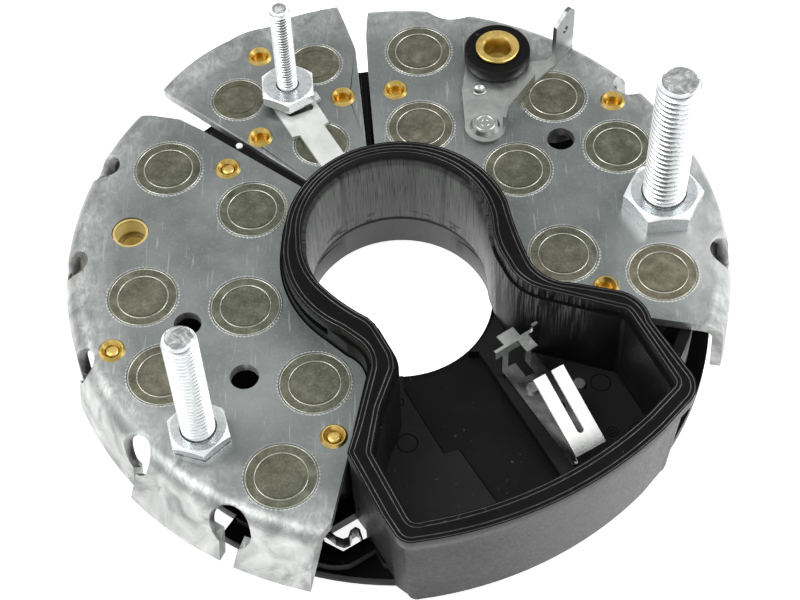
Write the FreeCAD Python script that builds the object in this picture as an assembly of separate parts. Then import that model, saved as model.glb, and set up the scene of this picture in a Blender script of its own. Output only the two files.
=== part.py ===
# Alternator rectifier: three aluminium heat-sink plates with press-fit diodes on a black terminal carrier.
# Lengths are in millimetres. The origin is on the tube's axis, level with the tube's lower end; +Z is up.

import FreeCAD
import Part
import math
import os

V = FreeCAD.Vector

# Heights
PLATE_TOP = 21.5
SHEET = 2.0
PLATE_UNDER = PLATE_TOP - SHEET
RIM_TOP = 27.7
RIM_UNDER = 25.3
LIP_TOP = 23.4
LEDGE_Z = 25.6
FLANGE_Z0 = 1.7
FLANGE_Z1 = 4.2
FLOOR_SIDE = 8.2
FLOOR_MID = 6.2
FLOOR_UNDER = 3.2

# Heat-sink plates
BEND_OUT_R = 61.2
BEND_R = 3.7
SKIRT_Z = 9.2
GAP = 0.3

# Places and outlines in plan are drawn for a plate radius of 61.2 and follow it.
SPREAD = BEND_OUT_R / 61.2

# Radii about the tube's axis
LIP_OUT = 20.7 * SPREAD
SPIGOT_BORE = 17.7 * SPREAD
SPIGOT_OUT = 20.4 * SPREAD
THROAT_R = 18.5 * SPREAD
FLANGE_R = BEND_OUT_R - 2.4
LEFT_FLANGE_R = FLANGE_R - 4.6
WALL_R = FLANGE_R - 3.4
WALL_T = 2.0
WALL_SET = 0.7

# Diodes
BIG_R = 12.77 / 2
SMALL_R = 10.4 / 2
CUP_H = 6.4
FACE_SUNK = 0.1
GROOVE_RATIO = 0.68
GROOVE_W = 0.35
GROOVE_D = 0.12
LEAD_R = 0.65
WELL_R = 2.2
WELL_TOP = 8.0

# Eyelets and their posts
EYE_BORE = 1.3
EYE_SHANK = 1.7
EYE_FLANGE = 2.45
EYE_DEPTH = 1.3
POST_R = 3.0

# Peg, brass sleeve, bush and thin sheet
PEG_R = 0.65
PEG_Z0 = 12.0
SLEEVE_OUT = 3.3
SLEEVE_BORE = 2.4
SLEEVE_MOUTH = 2.85
SLEEVE_STEP_Z = 17.2
SLEEVE_TOP = 21.2
SLEEVE_HOLE = SLEEVE_OUT + 0.15
SLEEVE_SEAT_H = 2.0
BUSH_BODY = 4.6
BUSH_FLANGE = 6.45
BUSH_TOP = PLATE_TOP + 3.4
BUSH_BORE = 2.5
THIN = 0.8
CONTACT_L = 23.6


def polar(radius, degrees):
    a = math.radians(degrees)
    return (radius * math.cos(a), radius * math.sin(a))


def spread(item):
    """Plan places and outlines, however nested, at the plates' real size."""
    if isinstance(item, (int, float)):
        return item * SPREAD
    return type(item)(spread(part) for part in item)


def around(places):
    return [polar(radius * SPREAD, degrees) for radius, degrees in places]


LEFT_DIODES = around([(47.6, 154.4), (28.7, 159.4), (47.2, 190.9), (30.1, 203.1), (49.3, 211.6),
                      (32.5, 242.0), (51.6, 246.0)])
RIGHT_DIODES = around([(48.4, 83.5), (29.1, 79.7), (46.9, 48.4), (29.0, 36.8), (47.8, 27.4),
                       (30.4, -5.1), (48.5, -9.1)])
EXCITER_DIODES = around([(47.7, 128.8), (48.0, 108.3), (28.9, 118.7)])
LEFT_EYES = spread([(-31.6, 20.0), (-51.25, -20.4), (-12.0, -39.75)])
MIDDLE_EYES = spread([(-26.0, 48.1), (-25.6, 27.4), (-9.7, 36.8)])
RIGHT_EYES = spread([(0.6, 38.1), (42.5, 33.3), (37.3, -10.5)])
LEFT_HOLES = spread([(-38.0, -15.25, 2.5), (-27.6, -26.9, 2.6)])
RIGHT_HOLES = spread([(31.8, 24.3, 2.65)])
DIODES = LEFT_DIODES + RIGHT_DIODES + EXCITER_DIODES
EYES = LEFT_EYES + MIDDLE_EYES + RIGHT_EYES
CONTACT_POS = spread((29.8, -39.9))
SLEEVE_POS = spread((-49.4, 5.8))
BUSH_POS = spread((20.8, 44.8))
PEG_POS = spread((-29.6, 25.8))

# Notches across the plates' bends: degrees, where the hole starts on the flat, its radius and the slit below
LEFT_NOTCHES = [(158.2, 56.4, 3.2, 1.2), (180.4, 56.8, 3.1, 1.2), (201.2, 58.4, 3.1, 1.4),
                (221.3, 58.9, 3.6, 2.0), (241.3, 60.2, 4.1, 4.4)]
RIGHT_NOTCH = (357.0, 57.1, 3.5, 1.8)
EDGE_NOTCHES = spread([(12.4, 61.4, 5.2), (45.9, 37.6, 2.8)])

# Studs
M8_POS = spread((49.4, 7.75))
M6_POS = spread((-34.9, -39.2))
M4_POS = spread((-20.1, 36.8))
M8_TOP = PLATE_TOP + 34.2
M6_TOP = PLATE_TOP + 31.2
M4_TOP = PLATE_TOP + 25.1
M8_R = 4.0
M6_R = 3.0
M4_R = 2.0
SHANK = 0.2
M8_SEAT = PLATE_TOP + 4.0
M6_SEAT = PLATE_TOP + 3.9
M4_SEAT = PLATE_TOP + 4.4


def disc(radius, z0, z1, x=0.0, y=0.0):
    return Part.makeCylinder(radius, z1 - z0, V(x, y, z0))


def tube(outer, inner, z0, z1, x=0.0, y=0.0):
    return disc(outer, z0, z1, x, y).cut(disc(inner, z0 - 1, z1 + 1, x, y))


def outline(start, steps, z=0.0):
    """Closed wire from lines (x, y) and arcs ((mid x, mid y), (end x, end y))."""
    edges = []
    here = V(start[0], start[1], z)
    for step in steps + [start]:
        if isinstance(step[0], tuple):
            mid = V(step[0][0], step[0][1], z)
            end = V(step[1][0], step[1][1], z)
            edges.append(Part.Arc(here, mid, end).toShape())
        else:
            end = V(step[0], step[1], z)
            if here.distanceToPoint(end) > 1e-6:
                edges.append(Part.LineSegment(here, end).toShape())
        here = end
    return Part.Wire(edges)


def prism(start, steps, z0, z1):
    return Part.Face(outline(start, steps, z0)).extrude(V(0, 0, z1 - z0))


def grown(start, steps, offset, z0, z1):
    wire = outline(start, steps, z0).makeOffset2D(offset)
    return Part.Face(wire).extrude(V(0, 0, z1 - z0))


def hexagon(across_flats, z0, z1, x, y, turn):
    r = across_flats / math.sqrt(3)
    pts = [(x + r * math.cos(math.radians(turn + 60 * k)), y + r * math.sin(math.radians(turn + 60 * k)))
           for k in range(6)]
    return prism(pts[0], pts[1:], z0, z1)


def chamfered_hex(across_flats, z0, z1, x, y, turn, bevel):
    """Hexagon with its upper corners turned off by a 30 degree cone."""
    r = across_flats / math.sqrt(3)
    tall = z1 - z0 + (r - across_flats / 2 + bevel) * math.tan(math.radians(30))
    cone = Part.makeCone(r + tall / math.tan(math.radians(30)) - (r - across_flats / 2 + bevel),
                         across_flats / 2 - bevel, tall, V(x, y, z1 - tall))
    return hexagon(across_flats, z0, z1, x, y, turn).common(cone)


# The keyhole-shaped rim round the tube and the pocket, seen from above.
RIM_START = spread((20.3, 5.2))
RIM = spread([((-1.0, 19.95), (-20.3, -0.2)), ((-18.9, -12.3), (-10.4, -21.6)), (-7.3, -24.3),
       ((-5.6, -26.9), (-5.3, -30.0)), (-8.0, -41.3), (-9.5, -46.6), (-3.8, -59.1), (-1.9, -62.5),
       ((-0.6, -63.7), (1.5, -63.9)), ((25.0, -57.3), (44.2, -43.9)), (48.4, -39.4),
       ((49.9, -37.0), (49.8, -33.8)), (43.8, -22.2), ((41.4, -17.2), (38.5, -15.6)), (30.5, -13.6),
       ((26.0, -11.8), (23.4, -7.9)), ((21.6, -1.5), (20.3, 5.2))])
# The inner edge of the rim's flat top.
FLAT_START = spread((17.3, 1.0))
FLAT = spread([((0.0, 17.3), (-17.2, -2.0)), ((-15.9, -8.7), (-13.3, -12.7)), ((-9.9, -16.2), (-5.6, -19.5)),
        (-4.3, -21.0), (-2.0, -25.8), ((-1.2, -28.2), (-1.2, -30.6)), (-3.8, -38.0), (-5.4, -46.6),
        (0.4, -59.3), ((1.2, -60.1), (2.6, -60.0)), ((23.4, -53.6), (41.4, -41.1)), (46.0, -36.2),
        ((46.6, -35.2), (46.3, -34.0)), (40.2, -20.6), ((39.5, -19.8), (38.5, -19.5)), (25.2, -14.9),
        ((21.6, -12.5), (19.4, -8.6)), ((17.8, -4.3), (17.3, 1.0))])


def wall_steps(draft):
    """Outer face of the walls below the rim; the pocket's outer face leans in by draft."""
    d = draft
    start = (21.0, 2.9)
    steps = [((0.0, 21.2), (-21.2, 0.5)), ((-18.7, -12.7), (-13.0, -19.8)), (-9.4, -23.2),
             ((-6.5, -26.2), (-6.1, -30.0)), (-8.6, -41.3), (-9.2, -46.8), (-3.0 + d / 2, -59.4 + d / 2),
             (-1.0 + d / 2, -61.8 + d), ((0.2 + d / 4, -62.7 + d), (1.7, -62.8 + d)),
             ((24.6 - d * 0.4, -56.3 + d * 0.9), (43.3 - d * 0.7, -43.1 + d * 0.7)),
             (47.3 - d, -38.8 + d * 0.6), ((48.6 - d, -36.9 + d / 2), (48.5 - d, -34.0)),
             (42.7 - d / 2, -23.0), ((40.6, -18.6), (37.9, -16.9)), (30.0, -14.8),
             ((25.3, -12.6), (22.6, -8.2)), ((21.6, -3.6), (21.0, 2.9))]
    return spread(start), spread(steps)


def wall_body(z0, z1):
    top = outline(*wall_steps(0.0), z1)
    bottom = outline(*wall_steps(1.3), z0)
    return Part.makeLoft([bottom, top], True, True)


# The part of the carrier inside the pocket: the two side floors and the lower middle panel.
MID_START = spread((14.3, -14.8))
MID = spread([(27.7, -41.9), (34.5, -55.7), (23.0, -63.5), (16.5, -47.6), (9.7, -35.4), (7.0, -36.2),
              (0.2, -22.3),
              (0.0, -14.0)])

# The square opening in the front left of the carrier, and the low curb in front of it.
SQUARE_START = spread((-8.9, -45.3))
SQUARE = spread([(-6.1, -49.7), (-11.4, -52.9), (-14.6, -50.9), (-15.0, -49.0)])
CURB_START = spread((-17.5, -52.9))
CURB = spread([((-14.4, -54.6), (-10.6, -54.9)), (-4.9, -51.3), (-2.8, -55.2), ((-3.4, -56.6), (-4.6, -56.0)),
        (-5.6, -53.6), (-10.2, -56.4), ((-14.4, -56.3), (-18.2, -54.4))])


def slab(x0, x1, y0, y1, z0, z1):
    """Upright block whose plan follows the plates' size."""
    box = Part.makeBox(spread(x1 - x0), spread(y1 - y0), z1 - z0)
    return box.translated(V(spread(x0), spread(y0), z0))


def base_flange():
    """Round flange, set back under the left plate's bend."""
    step = wedge(160, 236).cut(disc(LEFT_FLANGE_R, -1, 40))
    return disc(FLANGE_R, FLANGE_Z0, FLANGE_Z1).cut(step)


def make_carrier():
    body = base_flange().fuse(wall_body(FLANGE_Z0, RIM_UNDER))
    body = body.fuse(prism(RIM_START, RIM, RIM_UNDER, RIM_TOP))
    above = tube(80, LIP_OUT, LIP_TOP, RIM_UNDER).common(slab(-45, 15, -20, 30, LIP_TOP, LIP_TOP + 9))
    body = body.cut(above)
    body = body.fuse(disc(SPIGOT_OUT, 0, FLANGE_Z1))
    body = body.fuse(outer_wall())
    body = body.fuse(prism(CURB_START, CURB, FLANGE_Z1, 6.0))
    body = body.fuse(disc(SLEEVE_OUT + 1.2, FLANGE_Z0, FLANGE_Z1 + SLEEVE_SEAT_H, *SLEEVE_POS))
    for x, y in EYES:
        body = body.fuse(disc(POST_R, FLANGE_Z0, PLATE_UNDER, x, y))
    for x, y in DIODES:
        body = body.fuse(disc(WELL_R, FLANGE_Z0, WELL_TOP, x, y))
    body = body.fuse(gap_rib(spread((-15.4, 14.3)), spread((-35.0, 30.1)), 1.3, PLATE_TOP - 0.6))
    body = body.fuse(gap_rib(spread((-4.4, 20.5)), spread((-5.7, 45.0)), 0.9, PLATE_TOP - 2.4))
    body = body.fuse(corner_ribs())
    body = body.cut(cavity())
    body = body.cut(prism(SQUARE_START, SQUARE, -1, 12))
    for x, y in EYES:
        body = body.cut(disc(EYE_SHANK, -1, PLATE_TOP, x, y))
        body = body.cut(disc(EYE_FLANGE + GAP, -1, FLANGE_Z0 + 0.6, x, y))
    for x, y in DIODES:
        body = body.cut(disc(LEAD_R, FLANGE_Z0 + 1.0, WELL_TOP + 1, x, y))
    x, y, r = RIGHT_HOLES[0]
    body = body.cut(disc(r, -1, FLANGE_Z1 + 1, x - 0.5, y - 2.0))
    body = body.cut(disc(PEG_R, PEG_Z0, 40, *PEG_POS))
    body = body.cut(disc(SLEEVE_OUT, FLANGE_Z0 + 1, 40, *SLEEVE_POS))
    body = body.cut(disc(SLEEVE_BORE + 0.2, -1, 10, *SLEEVE_POS))
    body = body.cut(disc(BUSH_BORE + 0.4, -1, 10, *BUSH_POS))
    body = body.cut(make_s_clip())
    return body.removeSplitter()


def cavity():
    """Everything that the tube and the pocket leave open."""
    hollow = prism(FLAT_START, FLAT, LEDGE_Z, RIM_TOP + 1)
    hollow = hollow.fuse(grown(FLAT_START, FLAT, -WALL_SET, FLOOR_SIDE, LEDGE_Z + 0.1))
    inner = grown(FLAT_START, FLAT, -WALL_SET, FLOOR_MID, FLOOR_SIDE + 0.1)
    hollow = hollow.fuse(inner.common(prism(MID_START, MID, FLOOR_MID, FLOOR_SIDE + 0.1)))
    hollow = hollow.fuse(disc(THROAT_R, FLANGE_Z1 + 1, FLOOR_SIDE + 0.1, 0, -1.0))
    hollow = hollow.fuse(disc(SPIGOT_BORE, -1, FLOOR_SIDE))
    under = grown(FLAT_START, FLAT, -WALL_SET, -1, FLOOR_UNDER).cut(disc(SPIGOT_OUT, -2, FLOOR_UNDER + 1))
    return hollow.fuse(under)


def outer_wall():
    """Wall under the right plate's end and the low curb in front."""
    ring = tube(WALL_R, WALL_R - WALL_T, FLANGE_Z1 - 0.5, PLATE_UNDER)
    wall = ring.common(slab(30, 90, -36, -16, 0, 30))
    low = tube(WALL_R, WALL_R - WALL_T, FLANGE_Z1 - 0.5, 6.0).common(wedge(237, 253))
    return wall.fuse(low)


def gap_rib(start, end, width, top):
    """Upright rib between two plates, from the tube's wall outwards."""
    length = math.hypot(end[0] - start[0], end[1] - start[1])
    rib = Part.makeBox(length, width, top - FLANGE_Z1, V(0, -width / 2, FLANGE_Z1))
    rib.rotate(V(0, 0, 0), V(0, 0, 1), math.degrees(math.atan2(end[1] - start[1], end[0] - start[0])))
    return rib.translated(V(start[0], start[1], 0))


def corner_ribs():
    """Two upright ribs and the sloped block between the pocket's wall and the square opening."""
    plate = prism(spread((-8.9, -45.3)), spread([(-5.2, -52.0), (-4.0, -52.0), (-6.5, -44.0)]),
                  FLANGE_Z1, 17.0)
    second = prism(spread((-6.6, -48.9)), spread([(-5.2, -51.0), (-2.0, -50.0), (-6.0, -46.0)]),
                   FLANGE_Z1, 19.0)
    return plate.fuse(second)


def bent_ring(proud, flare):
    """Full turn of the sheet; its bend stands out by proud and the skirt's foot by flare more."""
    r_out = BEND_OUT_R + proud
    r_flat = r_out - BEND_R
    z_bend = PLATE_TOP - BEND_R
    s = math.sqrt(0.5)
    inner = BEND_R - SHEET
    top = [V(10, 0, PLATE_UNDER), V(10, 0, PLATE_TOP), V(r_flat, 0, PLATE_TOP)]
    edges = [Part.LineSegment(top[0], top[1]).toShape(), Part.LineSegment(top[1], top[2]).toShape()]
    edges.append(Part.Arc(top[2], V(r_flat + BEND_R * s, 0, z_bend + BEND_R * s),
                          V(r_out, 0, z_bend)).toShape())
    low = [V(r_out, 0, z_bend), V(r_out + flare, 0, SKIRT_Z), V(r_out + flare - SHEET, 0, SKIRT_Z),
           V(r_out - SHEET, 0, z_bend)]
    for a, b in zip(low[:-1], low[1:]):
        edges.append(Part.LineSegment(a, b).toShape())
    edges.append(Part.Arc(low[3], V(r_flat + inner * s, 0, z_bend + inner * s),
                          V(r_flat, 0, PLATE_UNDER)).toShape())
    edges.append(Part.LineSegment(V(r_flat, 0, PLATE_UNDER), top[0]).toShape())
    return Part.Face(Part.Wire(edges)).revolve(V(0, 0, 0), V(0, 0, 1), 360)


def wedge(deg0, deg1, reach=90.0):
    """Upright sector from deg0 to deg1, less than half a turn."""
    a = polar(reach, deg0)
    m = polar(reach, (deg0 + deg1) / 2)
    b = polar(reach, deg1)
    return prism((0.0, 0.0), [a, (m, b)], 0, 30)


def notch(degrees, start, radius, slit):
    """Round hole across the bend that begins at start on the flat, with a slit down through the skirt."""
    tilt = 42
    hole = Part.makeCylinder(radius, 16, V(0, 0, -8))
    hole.rotate(V(0, 0, 0), V(0, 1, 0), tilt)
    hole.translate(V(start * SPREAD + radius / math.cos(math.radians(tilt)), 0, PLATE_TOP))
    cut = Part.Face(outline_yz([(-slit / 2, PLATE_TOP - 5), (slit / 2, PLATE_TOP - 5),
                                (slit / 4, SKIRT_Z - 2), (-slit / 4, SKIRT_Z - 2)]))
    hole = hole.fuse(cut.extrude(V(16, 0, 0)).translated(V(BEND_OUT_R - 6, 0, 0)))
    hole.rotate(V(0, 0, 0), V(0, 0, 1), degrees)
    return hole


def outline_yz(points):
    pts = [V(0, y, z) for y, z in points]
    return Part.makePolygon(pts + [pts[0]])


def clear_of_walls():
    return grown(*wall_steps(0.0), GAP, 10, 30)


def drill(plate, diodes, radius, eyes, holes):
    for x, y in diodes:
        plate = plate.cut(disc(radius, 10, 30, x, y))
    for x, y in eyes:
        plate = plate.cut(disc(EYE_SHANK, 10, 30, x, y))
    for x, y, r in holes:
        plate = plate.cut(disc(r, 10, 30, x, y))
    return plate


LEFT_START = spread((-14.6, 12.6))
LEFT = spread([(-18.0, 15.2), (-37.2, 30.0), (-41.3, 32.7), (-47.9, 34.2), (-60.0, 40.0), (-90.0, 40.0),
               (-90.0, -80.0), (-20.9, -80.0), (-16.3, -61.0), (-12.6, -56.5), (-5.9, -27.5), (-5.0, -12.0)])
MIDDLE_START = spread((-14.4, 14.6))
MIDDLE = spread([(-5.0, 20.0), (-5.3, 24.75), (-7.0, 49.3), (-8.7, 55.2), (-10.5, 60.9),
                 ((-15.3, 59.9), (-20.0, 58.5)), ((-23.9, 56.3), (-26.75, 55.6)),
                 ((-29.5, 54.6), (-32.2, 52.8)), ((-38.8, 47.9), (-44.7, 40.6)), (-44.4, 39.8)])
RIGHT_START = spread((-3.7, 16.0))
RIGHT = spread([(-3.7, 24.75), (-4.7, 45.2), (-4.9, 52.7), (-3.0, 80.0), (80.0, 80.0), (80.0, -25.3),
                (57.6, -20.4), (44.7, -17.6), (20.0, -8.5), (5.0, 5.0)])


def make_left_plate():
    turns = [LEFT_NOTCHES[2][0], LEFT_NOTCHES[3][0], LEFT_NOTCHES[4][0]]
    plate = bent_ring(0.0, 0.3).common(wedge(130, turns[0]))
    plate = plate.fuse(bent_ring(0.6, 1.4).common(wedge(turns[0], turns[1])))
    plate = plate.fuse(bent_ring(1.1, 2.8).common(wedge(turns[1], turns[2])))
    plate = plate.fuse(bent_ring(1.1, 2.9).common(wedge(turns[2], 300)))
    plate = plate.common(prism(LEFT_START, LEFT, 0, 30)).cut(clear_of_walls())
    for place in LEFT_NOTCHES:
        plate = plate.cut(notch(*place))
    plate = drill(plate, LEFT_DIODES, BIG_R, LEFT_EYES, LEFT_HOLES)
    plate = plate.cut(disc(SLEEVE_HOLE, 10, 30, *SLEEVE_POS))
    plate = plate.cut(disc(M6_R + SHANK, 10, 30, *M6_POS))
    return biggest(plate.removeSplitter())


def make_middle_plate():
    plate = prism(MIDDLE_START, MIDDLE, PLATE_UNDER, PLATE_TOP).cut(clear_of_walls())
    plate = drill(plate, EXCITER_DIODES, SMALL_R, MIDDLE_EYES, [])
    plate = plate.cut(disc(M4_R + SHANK, 10, 30, *M4_POS))
    return biggest(plate.removeSplitter())


def make_right_plate():
    plate = bent_ring(0.0, 0.5).common(prism(RIGHT_START, RIGHT, 0, 30)).cut(clear_of_walls())
    for x, y, r in EDGE_NOTCHES:
        plate = plate.cut(disc(r, 0, 30, x, y))
    plate = plate.cut(notch(*RIGHT_NOTCH))
    plate = drill(plate, RIGHT_DIODES, BIG_R, RIGHT_EYES, RIGHT_HOLES)
    plate = plate.cut(disc(BUSH_BODY, 10, 30, *BUSH_POS))
    plate = plate.cut(disc(M8_R + SHANK, 10, 30, *M8_POS))
    return biggest(plate.removeSplitter())


def biggest(shape):
    return sorted(shape.Solids, key=lambda s: s.Volume)[-1]


def make_diode(radius, x, y):
    top = PLATE_TOP - FACE_SUNK
    body = disc(radius, top - CUP_H, top)
    rim = tube(radius - 0.45, radius * 0.55, top - CUP_H - 0.01, top - CUP_H + 1.2)
    groove_r = radius * GROOVE_RATIO
    groove = tube(groove_r + GROOVE_W / 2, groove_r - GROOVE_W / 2, top - GROOVE_D, top + 1)
    lead = disc(LEAD_R, FLANGE_Z0 + 1.0, top - CUP_H + 0.5)
    body = body.cut(rim).cut(groove).fuse(lead)
    body.translate(V(x, y, 0))
    return body.removeSplitter()


def make_eyelet(x, y):
    """Cup rivet with a rolled head on the plate and a spread foot in the carrier's counterbore."""
    head = Part.makeCone(EYE_FLANGE, EYE_BORE + 0.75, 0.45, V(x, y, PLATE_TOP))
    shank = disc(EYE_SHANK, FLANGE_Z0, PLATE_TOP, x, y)
    foot = disc(EYE_FLANGE, FLANGE_Z0, FLANGE_Z0 + 0.6, x, y)
    rivet = head.fuse(shank).fuse(foot)
    mouth = Part.makeCone(EYE_BORE, EYE_BORE + 0.55, 0.7, V(x, y, PLATE_TOP - 0.24))
    return rivet.cut(disc(EYE_BORE, PLATE_TOP - EYE_DEPTH, 30, x, y)).cut(mouth).removeSplitter()


def make_stud(radius, seat, top, pos, head_r, chamfer):
    """Threaded stud: a thicker shank up to its nut's face, a round head below and a chamfered end."""
    x, y = pos
    rod = disc(radius, PLATE_UNDER, top - chamfer, x, y)
    shank = disc(radius + SHANK, PLATE_UNDER, seat, x, y)
    end = Part.makeCone(radius, radius - chamfer * 0.8, chamfer, V(x, y, top - chamfer))
    head = disc(head_r, PLATE_UNDER - 2.4, PLATE_UNDER, x, y)
    return rod.fuse(shank).fuse(end).fuse(head).removeSplitter()


def make_collar_m8():
    x, y = M8_POS
    body = chamfered_hex(13.0, PLATE_TOP, M8_SEAT, x, y, 2, 0.4)
    return body.cut(disc(M8_R + SHANK, 10, 40, x, y))


def make_nut_m6():
    x, y = M6_POS
    low = hexagon(10.0, PLATE_TOP, PLATE_TOP + 1.5, x, y, -18)
    neck = disc(4.6, PLATE_TOP, M6_SEAT, x, y)
    body = low.fuse(neck).fuse(chamfered_hex(10.0, PLATE_TOP + 2.1, M6_SEAT, x, y, -18, 0.2))
    return body.cut(disc(M6_R + SHANK, 10, 40, x, y)).removeSplitter()


def make_nut_m4():
    x, y = M4_POS
    z = PLATE_TOP + THIN
    body = disc(4.2, z, M4_SEAT, x, y)
    body = body.fuse(chamfered_hex(9.8, z + 1.2, M4_SEAT, x, y, 33, 0.2))
    return body.cut(disc(M4_R + SHANK, 10, 40, x, y)).removeSplitter()


def make_strip():
    """Exciter strip from the M4 nut to the tube's wall."""
    z = PLATE_TOP
    body = prism(spread((-24.9, 37.6)),
                 spread([(-23.4, 34.7), (-19.3, 26.5), (-17.9, 26.9), (-12.9, 17.4), (-8.4, 19.9),
                         (-13.3, 29.2), (-12.4, 30.1), (-15.0, 35.3), (-13.9, 36.0), (-14.8, 37.8),
                         (-16.0, 37.3), (-17.8, 41.0), (-22.0, 41.3), (-24.9, 38.8)]), z, z + THIN)
    ear = prism(spread((-24.9, 37.6)), spread([(-22.6, 33.0), (-21.6, 33.4), (-23.9, 38.0)]),
                z + THIN, z + 2.0)
    oval = prism(spread((-19.2, 31.7)),
                 spread([((-20.5, 32.4), (-19.4, 33.6)), (-16.6, 34.7), ((-15.4, 34.2), (-16.2, 33.0))]),
                 z - 1, z + 3)
    ear = ear.cut(disc(4.2 + GAP, z + THIN, 40, *M4_POS))
    body = body.fuse(ear).cut(oval).cut(clear_of_walls())
    body = body.cut(disc(M4_R + SHANK, 10, 40, *M4_POS))
    return biggest(body.removeSplitter())


def make_bush():
    x, y = BUSH_POS
    z = PLATE_TOP + THIN
    body = disc(BUSH_FLANGE, z, BUSH_TOP, x, y).fuse(disc(BUSH_BODY, PLATE_UNDER - 3, z, x, y))
    low = disc(BUSH_FLANGE, PLATE_UNDER - 3, PLATE_UNDER, x, y)
    body = body.fuse(low)
    return body.cut(disc(BUSH_BORE + 0.9, 0, 40, x, y)).removeSplitter()


def make_bush_sleeve():
    x, y = BUSH_POS
    body = disc(BUSH_BORE + 0.9, PLATE_UNDER - 3, BUSH_TOP, x, y)
    body = body.fuse(disc(4.3, BUSH_TOP, BUSH_TOP + 0.7, x, y))
    mouth = Part.makeCone(BUSH_BORE, BUSH_BORE + 0.5, 0.5, V(x, y, BUSH_TOP + 0.2))
    return body.cut(disc(BUSH_BORE, 0, 40, x, y)).cut(mouth).removeSplitter()


def make_terminal():
    """Blade terminal: base sheet under the bush, folded edge and upright blade."""
    z = PLATE_TOP
    base = prism(spread((14.4, 42.0)),
                 spread([(13.5, 36.8), (13.7, 28.2), ((17.5, 23.6), (21.5, 27.5)), (22.2, 30.4),
                         (27.8, 38.1), (31.9, 42.4), (31.0, 43.8), (27.2, 43.4), (26.4, 46.6),
                         ((20.8, 51.2), (15.0, 47.4))]),
                 z, z + THIN)
    fold = prism(spread((21.5, 27.5)),
                 spread([(22.2, 30.4), (27.8, 38.1), (27.2, 38.5), (21.6, 30.8), (20.9, 27.7)]),
                 z + THIN, z + 3.0)
    base = base.fuse(fold).fuse(blade_body(z))
    base = base.cut(disc(1.3, z - 1, z + 2, *spread((16.9, 36.6))))
    base = base.cut(disc(BUSH_BODY, z - 1, z + THIN + 0.01, *BUSH_POS))
    boss = Part.makeCone(2.9, 2.4, 0.8, V(*spread((17.5, 27.6)), z + THIN))
    return base.fuse(boss).removeSplitter()


def blade_body(z):
    """Blade 6.3 mm wide on a narrow foot."""
    foot = prism(spread((30.2, 40.9)), spread([(31.9, 42.4), (35.9, 47.2), (34.9, 48.0), (30.4, 43.6)]),
                 z, z + THIN)
    pts = [(0, 0), (6.2, 0), (6.2, 10.9), (4.8, 12.6), (3.4, 12.6), (0, 10.9)]
    face = Part.Face(Part.makePolygon([V(u, 0, w) for u, w in pts + [pts[0]]]))
    sheet = face.extrude(V(0, THIN, 0))
    sheet = sheet.cut(Part.makeCylinder(0.8, 4, V(3.15, -1, 8.0), V(0, 1, 0)))
    sheet.rotate(V(0, 0, 0), V(0, 0, 1), 51)
    sheet.translate(V(*spread((31.9, 42.4)), z))
    return foot.fuse(sheet)


def make_contact():
    """Spring contact folded back over itself, with a slot in the upper leaf."""
    t = 0.5
    length = CONTACT_L
    base = Part.makeBox(7.2, length, t, V(0, 0, 0))
    slot = Part.makeBox(1.8, 3.6, 3, V(3.0, length - 3.6, -1))
    hole = Part.makeCylinder(1.4, 3, V(4.4, length - 12.0, -1))
    rivet = Part.makeCylinder(1.2, 3, V(2.6, length - 6.3, -1))
    base = base.cut(slot).cut(hole).cut(rivet)
    rise = math.atan2(6.6, 15.0)
    run = 15.6
    leaf = Part.makeBox(6.3, run, t, V(0.6, 0, 0))
    leaf = leaf.cut(Part.makeBox(1.3, run - 4.0, 3, V(3.1, 4.0, -1)))
    leaf = leaf.cut(Part.makeCylinder(0.65, 3, V(3.75, 4.0, -1)))
    leaf.rotate(V(0, 0, 0), V(1, 0, 0), math.degrees(rise))
    leaf.translate(V(0, 0.3, 2.2))
    knee = Part.Face(outline_yz([(0.0, 0.0), (0.0, t), (-0.9, 1.3), (0.3, 2.2 + t), (0.5, 2.2), (-0.2, 1.4),
                                 (0.6, t)])).extrude(V(6.3, 0, 0)).translated(V(0.6, 0, 0))
    body = base.fuse(leaf).fuse(knee)
    body.rotate(V(0, 0, 0), V(0, 0, 1), 29.3)
    body.translate(V(*CONTACT_POS, FLOOR_SIDE))
    return body.removeSplitter()


def make_contact_rivets():
    a = math.radians(29.3)
    u, w = 2.6, CONTACT_L - 6.3
    x = CONTACT_POS[0] + u * math.cos(a) - w * math.sin(a)
    y = CONTACT_POS[1] + u * math.sin(a) + w * math.cos(a)
    first = disc(1.2, FLOOR_SIDE, FLOOR_SIDE + 0.5, x, y)
    first = first.fuse(Part.makeCone(1.6, 1.1, 0.5, V(x, y, FLOOR_SIDE + 0.5)))
    second = Part.makeCone(1.5, 1.1, 0.6, V(*spread((32.2, -22.8)), FLOOR_SIDE))
    return Part.makeCompound([first.removeSplitter(), second])


def make_pocket_clip():
    """Small upright spring clip behind the contact."""
    low = FLOOR_SIDE + 0.5
    high = PLATE_TOP - 6.0
    bar = Part.makeBox(9.4, 0.6, 2.2, V(0, 0, high))
    tongue = Part.makeBox(3.6, 2.4, 0.5, V(2.4, 0.6, high + 1.4))
    tab = Part.makeBox(2.4, 2.2, 0.5, V(5.4, -2.2, high + 0.2))
    legs = Part.makeBox(1.3, 0.6, high - low, V(1.6, 0, low))
    legs = legs.fuse(Part.makeBox(1.3, 0.6, high - low, V(6.9, 0, low)))
    ear = Part.makeBox(1.2, 0.6, 1.6, V(8.2, 0, high + 2.2))
    body = bar.fuse(tongue).fuse(tab).fuse(legs).fuse(ear)
    body.rotate(V(0, 0, 0), V(0, 0, 1), 33)
    body.translate(V(*spread((16.9, -21.5)), 0))
    return body.removeSplitter()


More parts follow.
